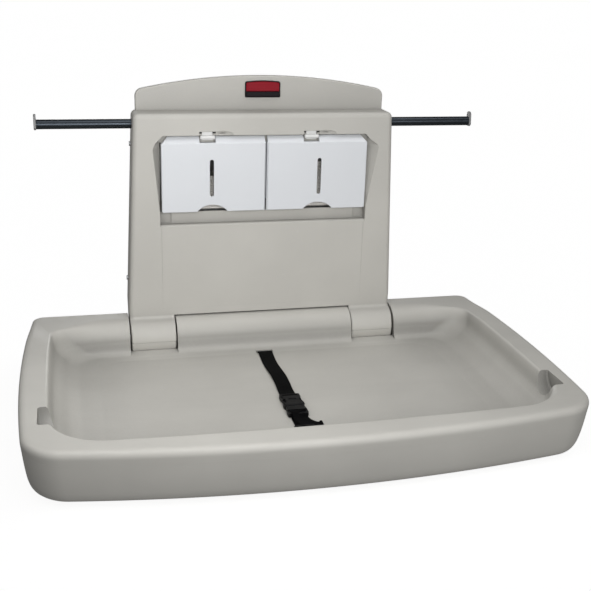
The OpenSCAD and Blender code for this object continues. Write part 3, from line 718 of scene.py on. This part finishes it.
def slab(i, top_r):
    """The housing body down to the lower edge of its panel; i is the inset of its inside."""
    rings = []
    zs = [-1.0 - (2 if i else 0), 20.0] + [40.0 * k for k in range(1, 9)]
    zs += [UNIT_TOP - i - top_r + top_r * sin(pi / 2 * k / 8) for k in range(9)]
    for z in zs:
        d = max(0.0, z - (UNIT_TOP - i - top_r))
        r = top_r - sqrt(max(0.0, top_r**2 - d**2))
        corner = max(0.6, EDGE - i - r)
        hw = half_width(z) - i - r
        ring = section(z, -hw, hw, -UNIT_D + i + r, corner, corner)
        if i:
            ring[0], ring[-1] = (-hw, 1.0, z), (hw, 1.0, z)
        rings.append(ring)
    return loft("slab", rings)


def leg_front(z):
    """How far a leg stands out at height z: flat, a hollow blend, then the round knuckle."""
    touch = AXIS_Z + (COVE_Z - AXIS_Z) * KNUCKLE / (KNUCKLE + COVE)
    if z > COVE_Z:
        return -UNIT_D
    if z > touch:
        return -(UNIT_D + COVE) + sqrt(COVE**2 - (z - COVE_Z) ** 2)
    return AXIS_Y - sqrt(max(0.0, KNUCKLE**2 - (z - AXIS_Z) ** 2))


def leg(s, i):
    """A hinge leg; i is the inset of its inside."""
    rings = []
    for k in range(33):
        z = -1 - (38.95 if not i else 40) * k / 32
        soft = EDGE - 5.5 * ease((-1 - z) / 12)
        x1, x2 = LEG_IN + i, half_width(z) - i
        ri = max(0.8, 1.0 + 1.8 * ease((-1 - z) / 10) - i)
        ro = max(0.8, soft - i)
        ring = section(z, x1, x2, leg_front(z) + i, ri, ro)
        if i:
            ring[0], ring[-1] = (x1, 1.0, z), (x2, 1.0, z)
        rings.append([(s * x, y, zz) for x, y, zz in ring])
    return loft("leg", rings)


def head_outline():
    """The head's arched top between two rounded shoulders."""
    big = (HEAD_HALF**2 + HEAD_DROP**2) / (2 * HEAD_DROP)
    cx = HEAD_HALF - HEAD_ROUND
    cz = HEAD_TOP - big + sqrt((big - HEAD_ROUND) ** 2 - cx**2)
    a = degrees(atan2(cz - HEAD_TOP + big, cx))
    pts = [(HEAD_HALF, UNIT_TOP - 16), (HEAD_HALF, UNIT_TOP + 8)]
    pts += arc(cx, cz, HEAD_ROUND, 0, a, 8)
    pts += arc(0, HEAD_TOP - big, big, a, 90, 16)[1:]
    left = [(-u, v) for u, v in reversed(pts[:-1])]
    return pts + left


def recess_side(flare, f, lip):
    """One side of the recess: lower lip, cheek sloping out by flare, and chamfered top corner."""
    return [
        (OPEN_HALF, SHELF_Z - lip),
        (OPEN_HALF + 0.4 * f, DOOR_Z),
        (OPEN_HALF + flare * f, OPEN_TOP - 24),
        (OPEN_HALF + (flare - 1.5) * f, OPEN_TOP - 19),
        (OPEN_HALF + 5 * f, OPEN_TOP - 11),
        (OPEN_HALF + 1, OPEN_TOP - 7),
        (OPEN_HALF - 6, OPEN_TOP),
    ]


def recess_cutter():
    """The dispenser's recess: its cheeks slope in from the front, its lower lip is rounded over."""
    rings = []
    deep, run, round_from, lip_r = 41.0, 12, 48.0, 5.0
    for y in (-deep, -46.0, -49.0, -50.5, -51.7, -52.5, -UNIT_D, -UNIT_D - 1):
        f = (min(UNIT_D, -y) - deep) / run
        d = max(0.0, -y - round_from)
        lip = lip_r - sqrt(max(0.0, lip_r**2 - min(d, lip_r) ** 2))
        right, left = recess_side(FLARE, f, lip), recess_side(FLARE_LEFT, f, lip)
        rings.append([(u, y, v) for u, v in right] + [(-u, y, v) for u, v in left[::-1]])
    return loft("recess", rings)


def scoop(x, z):
    """Shallow fingertip relief beside a latch."""
    rings = []
    turns = [2 * pi * i / 28 for i in range(28)]
    for k in range(1, 10):
        t = pi * k / 10
        y = -UNIT_D - 2.6 * cos(t) * 1.5
        rings.append([(x + 19 * sin(t) * cos(a), y, z + 6.5 * sin(t) * sin(a)) for a in turns])
    return loft("scoop", rings)


def wall_housing():
    body = slab(0, EDGE)
    unite(body, leg(1, 0), leg(-1, 0), prism("head", head_outline(), -HEAD_D, 0, 2.6, 0, "y"))
    inside = [(u * 0.984, v - WALL) for u, v in head_outline()]
    head_in = prism("head_in", inside, -HEAD_D + WALL, 1, 0, 0, "y")
    cut(body, slab(WALL, 5.0), leg(1, WALL), leg(-1, WALL), head_in)
    block = [
        (-OPEN_HALF - 3, SHELF_Z - 8),
        (OPEN_HALF + 3, SHELF_Z - 8),
        (OPEN_HALF + 3, DOOR_Z),
        (OPEN_HALF + FLARE + 3, OPEN_TOP + 3),
        (-OPEN_HALF - FLARE - 3, OPEN_TOP + 3),
        (-OPEN_HALF - 3, DOOR_Z),
    ]
    unite(body, prism("block", block, -UNIT_D + 1, -37.5, 0, 0, "y"))
    taken = [recess_cutter(), box("bins", (-BIN_HALF, -42, DOOR_Z - 2), (BIN_HALF, -30, BIN_TOP))]
    for s in (1, -1):
        a, b = span(s, 164.0, OPEN_HALF - 0.5)
        taken.append(box("corner", (a, -42, SHELF_Z + 1.5), (b, -38.8, DOOR_Z - 3)))
        taken.append(rod("rail_hole", RAIL_HOLE, *span(s, 205.0, 245.0), RAIL_Y, RAIL_Z, 40))
    for name in ("latch_left", "latch_right"):
        lo, hi = mm(name)
        room = (hi[0] + 1.5, -49.3, OPEN_TOP + 6.5)
        taken.append(box("tab_slot", (lo[0] - 1.5, -UNIT_D - 1, OPEN_TOP - 9), room))
        taken.append(scoop(hi[0] + 13, OPEN_TOP + 1))
        room = (hi[0] - 3, -44.6, OPEN_TOP + 4)
        taken.append(box("stem_slot", (lo[0] + 3, -49.5, OPEN_TOP - 1), room))
    a, low, high = OPEN_HALF - 1, 12.0, SHELF_Z + 4
    panel = [(-a, high), (a, high), (a, low), (-a, low)]
    rings = [[(u, -UNIT_D - 1, v) for u, v in panel]]
    rings.append([(u * 0.994, -UNIT_D + (0.8 if v > 100 else 0.05), v) for u, v in panel])
    taken.append(loft("panel", rings))
    cut(body, *taken)
    settle(body, "wall_unit", shell, ["wall_housing"], angle=28)


def hinge_caps():
    """Lower halves of the two knuckles, each a hollow half round with a flat behind."""
    lap = degrees(0.66)
    for side, s in (("left", -1), ("right", 1)):
        pts = arc(AXIS_Y, AXIS_Z - 0.25, KNUCKLE, 180, 360 - lap, 30)
        pts.append((pts[-1][0], AXIS_Z - 0.25))
        a, b = span(s, LEG_IN, LEG_OUT)
        cap = prism("hinge_cap_shell_" + side, pts, a, b, 2.8, 3.2, "x", 5)
        hollow = arc(AXIS_Y, AXIS_Z + 1, KNUCKLE - WALL, 180, 360, 24)
        cut(cap, prism("hollow", hollow, a + WALL, b - WALL, 0, 0, "x"))
        settle(cap, "wall_unit", shell, ["hinge_cap_" + side])


wall_housing()
hinge_caps()


# ---------------------------------------------------------------- badge
def arched(w, low, high, drop, corner, n=12):
    """Outline with a gently arched top edge and rounded corners."""
    foot = corner * 0.6
    flat = [(-w, low, foot), (w, low, foot), (w, high - drop, corner), (-w, high - drop, corner)]
    out = []
    for u, v in filleted(flat, 5):
        lift = drop * (1 - (u / w) ** 2) if v > (low + high) / 2 else 0
        out.append((u, v + lift))
        if v > high - drop - 0.01 and u > 0 and abs(u - (w - corner)) < 0.01:
            for k in range(1, n):
                x = (w - corner) * (1 - 2 * k / n)
                out.append((x, high - drop + drop * (1 - (x / w) ** 2)))
    return out


def badge():
    lo, hi = mm("badge_bezel")
    ring = prism("badge_frame", arched(hi[0], lo[2], hi[2], 2.1, 3.2), lo[1], hi[1], 0.9, 0, "y", 4)
    well = arched(hi[0] - 1.6, lo[2] + 1.6, hi[2] - 1.6, 2.0, 2.2)
    cut(ring, prism("well", well, lo[1] - 1, lo[1] + 1.6, 0, 0, "y"))
    settle(ring, "wall_unit", dark, ["badge_bezel"])
    lo, hi = mm("badge_upper")
    up = prism("badge_red_panel", arched(hi[0], lo[2], hi[2], 1.9, 1.8), lo[1], hi[1], 1.3, 0, "y", 5)
    settle(up, "wall_unit", red, ["badge_upper"])
    (x1, y1, z1), (x2, y2, z2) = mm("badge_lower")
    outline = filleted([(x1, z1, 1.8), (x2, z1, 1.8), (x2, z2, 0.5), (x1, z2, 0.5)], 5)
    low = prism("badge_dark_panel", outline, y1, y2, 0.9, 0, "y", 4)
    settle(low, "wall_unit", dark, ["badge_lower"])


badge()


# ---------------------------------------------------------------- hook rail
def rail():
    lo, hi = mm("hook_rail")
    y, z, r = (lo[1] + hi[1]) / 2, (lo[2] + hi[2]) / 2, (hi[2] - lo[2]) / 2
    bar = rod("hook_rail_tube", r, lo[0], hi[0], y, z, 72, 0.4)
    cut(bar, rod("bore", r - 1.5, lo[0] - 1, hi[0] + 1, y, z, 48))
    settle(bar, "wall_unit", tube, ["hook_rail"])
    for side, s in (("left", -1), ("right", 1)):
        lo, hi = mm("rail_cap_" + side)
        out = hi[0] if s > 0 else -lo[0]
        low, high = lo[2], hi[2]
        disc = [(y - 9, low, 5.5), (y + 9, low, 5.5), (y + 6, high, 5.4), (y - 6, high, 5.4)]
        cap = prism("rail_end_cap_" + side, filleted(disc, 8), *span(s, out - 4, out), 1.2, 1.2, "x", 4)
        unite(cap, rod("plug", r - 1.52, *span(s, out - 16, out - 3.5), y, z, 48))
        settle(cap, "wall_unit", cap_grey, ["rail_cap_" + side])


rail()


# ---------------------------------------------------------------- doors, latches, liners
LIP_H = 10  # height of the sloping lip along a door's top
DOOR_BACK = -44
LUGS = (11.5, 22.5, 155.5, 166.5)
SLOT_X, SLOT_LOW, SLOT_HIGH = 95.0, 214, 278
FINGER_X, FINGER_R, FINGER_RISE = 94.0, 35.4, 12.5


def door(side, s):
    """A liner door: hollow panel with a level slot, a finger notch, a sloping lip and four lugs."""
    lo, hi = mm("door_" + side)
    x1, x2 = (lo[0], hi[0]) if s > 0 else (-hi[0], -lo[0])
    zl, zh, yf = DOOR_Z, DOOR_TOP, lo[1]
    face = [(x1, zl, 1.2), (x2, zl, 2.5), (x2, zh, 3.5), (x1, zh, 1.2)]
    pts = [(s * u, v) for u, v in filleted(face, 6)]
    panel = prism("door_panel_" + side, pts, yf, DOOR_BACK, 1.8, 0, "y", 5)
    taken = []
    for name, rim, top in (("hollow", 2.5, zh - 2.5), ("lower", -1, zl + 20)):
        a, b = span(s, x1 + rim, x2 - rim)
        taken.append(box(name, (a, yf + 2.5, zl - 1), (b, DOOR_BACK + 1, top)))
    a, b, r = s * SLOT_X - 3.5, s * SLOT_X + 3.5, 3.49
    slot = filleted([(a, SLOT_LOW, r), (b, SLOT_LOW, r), (b, SLOT_HIGH, r), (a, SLOT_HIGH, r)], 8)
    taken.append(flared(slot, yf, 0.5))
    c = s * FINGER_X
    scallop = arc(c, zl + FINGER_RISE - FINGER_R, FINGER_R, 45, 135, 36)
    scallop += [(c - 26, zl - 3), (c + 26, zl - 3)]
    taken.append(flared(scallop, yf, 0.8))
    cut(panel, *taken)
    lugs = [door_lip(side, s, x1, x2, yf)]
    for x in LUGS:
        knob = arc(-50, zl + 5, 4, -90, 90, 12) + [(yf + 1, zl + 9), (yf + 1, zl + 1)]
        lugs.append(prism("lug", knob, *span(s, x, x + 6), 0.4, 0.4, "x", 2))
    unite(panel, *lugs)
    settle(panel, "door_" + side, white, ["door_" + side])


def door_lip(side, s, x1, x2, yf):
    """The lip leans back from the door's top edge, and leaves room for the latch's tab."""
    rings = []
    for t, back in ((-0.15, 0), (0, 0), (0.3, 0), (0.6, 0.1), (0.8, 0.5), (0.92, 1.0), (1, 2.0)):
        up = max(0, t)
        a, b = span(s, x1 + 1.2 + 0.3 * t, x2 - 2.5 - 9 * up)
        front, z = yf + 0.9 + 8.5 * up + back, DOOR_TOP + LIP_H * t
        rings.append([(a, DOOR_BACK, z), (a, front, z), (b, front, z), (b, DOOR_BACK, z)])
    lo, hi = mm("latch_" + side)
    room = box("room", (lo[0] - 1.4, yf - 1, DOOR_TOP), (hi[0] + 1.4, 0, DOOR_TOP + 20))
    return cut(loft("lip", rings), room)


def latch(side):
    """White tab over a door's lip, on a stem that slides up behind the housing."""
    lo, hi = mm("latch_" + side)
    x, z, w = (lo[0] + hi[0]) / 2, lo[2], (hi[0] - lo[0]) / 2
    low, high = z + 1.8, z + 8
    front = filleted([(x - w, low, 1), (x + w, low, 1), (x + w, high, 1.6), (x - w, high, 1.6)], 4)
    piece = prism("latch_tab_" + side, front, lo[1], -49.8, 1.4, 0, "y", 4)
    hook = [(-50.2, z), (-45, z), (-45, z + 25), (-48, z + 25), (-48, z + 3.6), (-50.2, z + 3.6)]
    unite(piece, prism("stem", hook, x - 9, x + 9, 0, 0, "x"))
    settle(piece, "latch_" + side, tab, ["latch_" + side])


def flared(outline, yf, r):
    """Cutter through a door skin whose front rim leaves a rounded edge."""
    rings = []
    for k in range(5):
        t = pi / 2 * k / 4
        y = yf + r * (1 - cos(t)) - 0.001
        rings.append([(u, y, v) for u, v in inset(outline, [-r * (1 - sin(t))] * len(outline))])
    first = [(u, yf - 2, v) for u, _, v in rings[0]]
    last = [(u, yf + 20, v) for u, _, v in rings[-1]]
    return loft("flared", [first] + rings + [last])


def liners():
    """Stacks of folded tissue: each sheet a soft ply standing a little in or out of the pile."""
    for side, s in (("left", -1), ("right", 1)):
        lo, hi = mm("liner_stack_" + side)
        rings = []
        count = max(6, round((hi[2] - lo[2]) / 3.2))
        pitch = (hi[2] - lo[2]) / count
        for k in range(count):
            sway = 0.9 * sin(k * 2.4 + s) + 0.5 * sin(k * 5.1)
            for f, pull in ((0.06, 0.9), (0.3, 0.15), (0.7, 0.15), (0.94, 0.9)):
                i = 0.9 + pull + abs(sway) * 0.6
                x1, x2, y1, y2 = lo[0] + i, hi[0] - i, lo[1] + i, hi[1] - 0.5
                pts = filleted([(x1, y1, 1), (x2, y1, 1), (x2, y2, 1), (x1, y2, 1)], 3)
                rings.append([(u, v, lo[2] + pitch * (k + f)) for u, v in pts])
        pile = loft("liner_pile_" + side, rings)
        settle(pile, "wall_unit", tissue, ["liner_stack_" + side], angle=60)


for hand, way in (("left", -1), ("right", 1)):
    door(hand, way)
    latch(hand)
liners()


# ---------------------------------------------------------------- safety strap
def smooth(path, steps):
    """Denser points on a smooth curve through the given ones."""
    dense = []
    for k in range(len(path) - 1):
        near = [path[max(0, k - 1)], path[k], path[k + 1], path[min(len(path) - 1, k + 2)]]
        for i in range(steps):
            t = i / steps
            point = []
            for p0, p1, p2, p3 in zip(*near):
                square = (2 * p0 - 5 * p1 + 4 * p2 - p3) * t * t
                cubic = (3 * p1 - p0 - 3 * p2 + p3) * t**3
                point.append(0.5 * (2 * p1 + (p2 - p0) * t + square + cubic))
            dense.append(point)
    return dense + [list(path[-1])]


def ribbon(name, path, width=STRAP_W, thick=1.7, across=Vector((1, 0, 0)), n=14):
    """Flat webbing along (x, y, z) points, with rolled selvages; across is its cross direction."""
    dense = smooth(path, 8)
    flat = [-1 + 2 * i / n for i in range(n + 1)]
    rings = []
    for k, p in enumerate(dense):
        d = Vector(dense[min(k + 1, len(dense) - 1)]) - Vector(dense[max(k - 1, 0)])
        d.normalize()
        w = (across - d * across.dot(d)).normalized()
        up = w.cross(d)
        upper, lower = [], []
        for u in flat:
            selvage = 1.0 if abs(u) < 0.97 else 0.55
            roll = 1.0 if abs(u) < 0.86 else 1.22
            side = Vector(p) + w * (u * width / 2)
            upper.append(tuple(side + up * (thick / 2 * roll * selvage)))
            lower.append(tuple(side - up * (thick / 2 * selvage)))
        rings.append(upper + lower[::-1])
    return loft(name, rings)


def strap():
    """Two lengths of webbing across the basin's floor; their spare ends turn back over them."""
    x, f = STRAP_X, -DEPTH
    back = [
        (x, -108.5, f - 9),
        (x, -108.5, f - 4),
        (x, -109.5, f + 0.2),
        (x, -113, f + 2.0),
        (x - 0.6, -130, f + 1.6),
        (x - 1.4, -160, f + 1.3),
        (x - 0.8, -190, f + 2.6),
        (x + 0.8, -220, f + 3.6),
        (x + 1.2, -250, f + 2.4),
        (x + 0.4, -275, f + 1.4),
        (x, -293, f + 1.5),
        (x, -304, f + 2.2),
        (x, -308.5, f + 4.2),
        (x, -311, f + 6.5),
    ]
    over = [
        (x, -311, f + 7.6),
        (x, -307, f + 8.3),
        (x, -303, f + 6.8),
        (x, -298, f + 4.4),
        (x, -290, f + 3.6),
        (x, -278, f + 3.3),
        (x, -266, f + 4.2),
    ]
    cloth = join(ribbon("strap_back_webbing", back), ribbon("fold", over, STRAP_W - 0.6, 1.5))
    settle(cloth, "bed", strap_cloth, ["strap_back"], angle=50)
    front = [
        (x, -461.5, f - 9),
        (x, -461.5, f - 4),
        (x, -460.5, f + 0.2),
        (x, -457, f + 2.0),
        (x, -440, f + 1.5),
        (x, -424, f + 1.4),
        (x, -404, f + 1.4),
        (x, -385, f + 1.7),
        (x, -372, f + 2.2),
        (x, -366.5, f + 4.2),
        (x, -363.5, f + 6.0),
    ]
    tail = [
        (x, -363.5, f + 7.4),
        (x, -367, f + 7.8),
        (x + 0.5, -372, f + 6.0),
        (x + 1.5, -380, f + 4.0),
        (x + 4.0, -391, f + 3.5),
        (x + 10, -401, f + 3.6),
        (x + 18, -408, f + 3.4),
        (x + 25, -410, f + 2.6),
        (x + 31, -409, f + 1.4),
    ]
    flap = ribbon("tail", tail, STRAP_W - 1, 1.5, Vector((0.75, 0.66, 0)))
    cloth = join(ribbon("strap_front_webbing", front), flap)
    settle(cloth, "bed", strap_cloth, ["strap_front"], angle=50)


def buckle():
    """Side-release buckle: a waisted socket with side windows, the plug's prongs showing in them."""
    x, f = STRAP_X, -DEPTH
    a, b = mm("buckle_socket")[1][1], mm("buckle_socket")[0][1]
    p, q = mm("buckle_plug")[1][1], mm("buckle_plug")[0][1]

    def sym(pts):
        return [(x + u, v) for u, v in pts] + [(x - u, v) for u, v in reversed(pts)]

    def room(name, half, y1, y2, z1, z2):
        return box(name, (x - half, y1, f + z1), (x + half, y2, f + z2))

    mouth = [(15.2, b + 0.4), (16.9, b + 5), (16.6, b + 11), (15.0, b + 19)]
    heel = [(15.3, b + 27), (16.4, b + 32), (16.4, a - 2), (14.6, a - 0.1)]
    socket = prism("buckle_socket_shell", sym(mouth + heel), f + 0.4, f + 9.9, 1.0, 2.6, "z", 5)
    taken = [
        room("throat", 13.4, b - 1, b + 26, 2.6, 7.6),
        room("slot", 13, a - 9.5, a - 6.5, -1, 12),
        room("step", 20, a - 12, a + 1, 7.3, 12),
    ]
    for s in (1, -1):
        c, d = x + s * 11.2, x + s * 20
        w = filleted([(c, b + 9, 1.4), (d, b + 9, 0), (d, b + 22, 0), (c, b + 22, 1.4)], 4)
        taken.append(prism("window", w, f + 2.2, f + 12, 0, 0, "z"))
    oval = [(x + 6.5 * u, b + 19 + 4.2 * v) for u, v in circle(0, 0, 1, 32)]
    taken.append(prism("dish", oval, f + 8.9, f + 12, 0.7, 0, "z", 3))
    cut(socket, *taken)
    settle(socket, "bed", black, ["buckle_socket"])
    body = [(15.0, q + 0.3), (16.3, q + 3), (16.3, q + 11), (14.6, p - 23), (14.4, b - 0.5)]
    plug = prism("buckle_plug_shell", sym(body), f + 0.6, f + 9.2, 1.0, 2.4, "z", 5)
    cut(plug, room("slot", 13, q + 6, q + 9.2, -1, 12), room("step", 20, q - 1, q + 11.5, 7.3, 12))
    arm = [(9.4, -2), (12.6, -2), (13.4, 8), (16.6, 10.5), (16.4, 19.5), (13.2, 21), (9.9, 20)]
    for s in (1, -1):
        prong = [(x + s * u, b + v) for u, v in arm]
        unite(plug, prism("prong", prong, f + 3.0, f + 7.4, 0.7, 0.9, "z", 3))
    unite(plug, room("guide", 3.5, b - 2, b + 18, 3.2, 7.2))
    settle(plug, "bed", black, ["buckle_plug"])


def strap_slider():
    lo, hi = mm("strap_slider")
    (x1, y1, z1), (x2, y2, z2) = lo, hi
    plate = filleted([(x1, y1, 2.5), (x2, y1, 2.5), (x2, y2, 2.5), (x1, y2, 2.5)], 5)
    slider = prism("strap_slider_frame", plate, z1 + 2.6, z2, 0.7, 1.1, "z", 3)
    for y in (y1 + 3, y2 - 6.5):
        cut(slider, box("gap", (x1 + 3, y, z1), (x2 - 3, y + 3.5, z2 + 1)))
    settle(slider, "bed", black, ["strap_slider"])


strap()
buckle()
strap_slider()


# ---------------------------------------------------------------- CAD nodes kept as they are
for mat, names in (
    # the bins and hinge cheeks take the dark copy of the shell grey, painted shade
    (inner, ["liner_bin_left", "liner_bin_right", "hinge_cheek_left", "hinge_cheek_right"]),
    (shell, ["bed_rear_cover"]),
    (paint, ["back_plate", "hinge_bracket_left", "hinge_bracket_right"]),
    (zinc, ["hinge_pin_left", "hinge_pin_right", "housing_screws", "tray_screws", "door_pins"]),
    (zinc, ["strap_anchor_back", "strap_anchor_front"]),
    (bush, ["rail_clamps", "hinge_bushes"]),
    (rubber, ["stop_bumpers"]),
):
    for name in names:
        for place in nodes[name].material_slots:
            place.material = mat


# ---------------------------------------------------------------- floor, light
def stage():
    """A white floor just under the bed; returns the collection that keeps the lamps off it."""
    z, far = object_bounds()[0][2] - 0.0015, 90
    mesh = bpy.data.meshes.new("studio_floor")
    corners = [(-far, -far, z), (far, -far, z), (far, far, z), (-far, far, z)]
    mesh.from_pydata(corners, [], [(0, 1, 2, 3)])
    floor = bpy.data.objects.new("studio_floor", mesh)
    scene.collection.objects.link(floor)
    n = Nodes("studio_floor")
    base = n.mix(n.noise(0.6, 2), (0.86, 0.86, 0.86), (0.9, 0.9, 0.9))
    n.put(n.shader, "Base Color", base)
    n.put(n.shader, "Roughness", 0.9)
    n.put(n.shader, "Specular IOR Level", 0.0)
    n.put(n.shader, "Emission Color", (1, 1, 1, 1))
    n.put(n.shader, "Emission Strength", 0.84)
    mesh.materials.append(n.mat)
    floor.visible_diffuse = floor.visible_glossy = False
    floor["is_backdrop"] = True
    # the lamps pass the floor by, so that the soft light of the room leaves its faint shadow there
    unlit = bpy.data.collections.new("unlit_floor")
    unlit.objects.link(floor)
    unlit.collection_objects[0].light_linking.link_state = "EXCLUDE"
    return unlit


def area(name, where, aim, size, power, unlit):
    """Area lamp that the camera doesn't see and the objects in unlit don't catch."""
    data = bpy.data.lights.new(name, "AREA")
    data.shape = "RECTANGLE"
    data.size, data.size_y = size
    data.energy = power
    lamp = bpy.data.objects.new(name, data)
    lamp.visible_camera = False
    lamp.location = where
    lamp.rotation_euler = (Vector(aim) - Vector(where)).to_track_quat("-Z", "Y").to_euler()
    lamp.light_linking.receiver_collection = unlit
    scene.collection.objects.link(lamp)


def light(unlit):
    area("key", (-0.27, -0.68, 0.26), (0.02, 0.0, 0.05), (0.80, 0.30), 2.3, unlit)
    area("top", (0.2, -0.5, 1.7), (0.05, -0.3, -0.15), (1.6, 1.2), 11.5, unlit)
    area("fill", (0.4, -2.2, 0.4), (0.1, -0.3, -0.05), (1.2, 1.0), 14, unlit)
    area("back", (0.2, 1.9, 0.05), (0, 0, 0), (1.2, 1.0), 12, unlit)
    world = bpy.data.worlds.new("studio")
    world.use_nodes = True
    tree = world.node_tree
    glow = tree.nodes["Background"]
    glow.inputs["Color"].default_value = (1, 1, 1, 1)
    # white where it is seen past the floor, and a dim fill light everywhere else
    seen = tree.nodes.new("ShaderNodeMapRange")
    seen.inputs["To Min"].default_value = 0.18
    path = tree.nodes.new("ShaderNodeLightPath")
    tree.links.new(path.outputs["Is Camera Ray"], seen.inputs["Value"])
    tree.links.new(seen.outputs["Result"], glow.inputs["Strength"])
    scene.world = world
    scene.view_settings.view_transform = "Standard"


light(stage())
